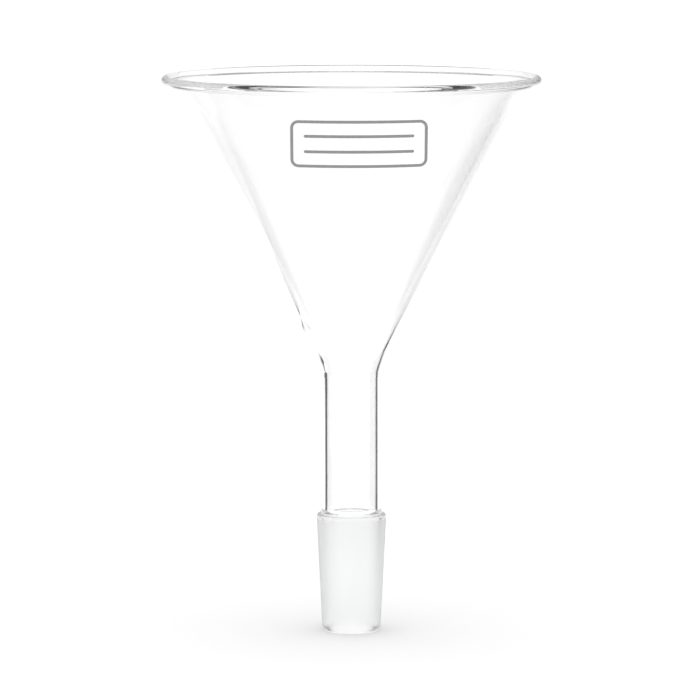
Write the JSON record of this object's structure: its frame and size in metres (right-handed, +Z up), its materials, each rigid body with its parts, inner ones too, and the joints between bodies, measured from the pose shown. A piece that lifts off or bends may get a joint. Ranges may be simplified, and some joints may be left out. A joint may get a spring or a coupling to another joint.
{
  "type": "laboratory powder funnel",
  "caption": "Clear glass powder funnel with a beaded rim, a plain tube stem and a ground 14/23 standard-taper male cone.",
  "frame": {"origin": "centre of the open lower end of the ground cone, on the lowest plane of the funnel", "axes": "+Z up along the axis of the stem and the cone, -Y towards the front, where the enamel panel is"},
  "size_m": [0.0784, 0.0784, 0.1161],
  "materials": {
    "clear_glass": "polished, clear",
    "ground_glass": "finely ground outside, frosted",
    "grey_enamel": "fired screen print, matte"
  },
  "bodies": {
    "root": {"rim_bead": "clear_glass", "funnel_cone": "clear_glass", "throat_neck": "clear_glass", "stem_tube": "clear_glass", "joint_shoulder": "clear_glass", "ground_joint": "ground_glass", "joint_tip": "ground_glass", "enamel_border": "grey_enamel", "enamel_rules": "grey_enamel"}
  },
  "joints": []
}
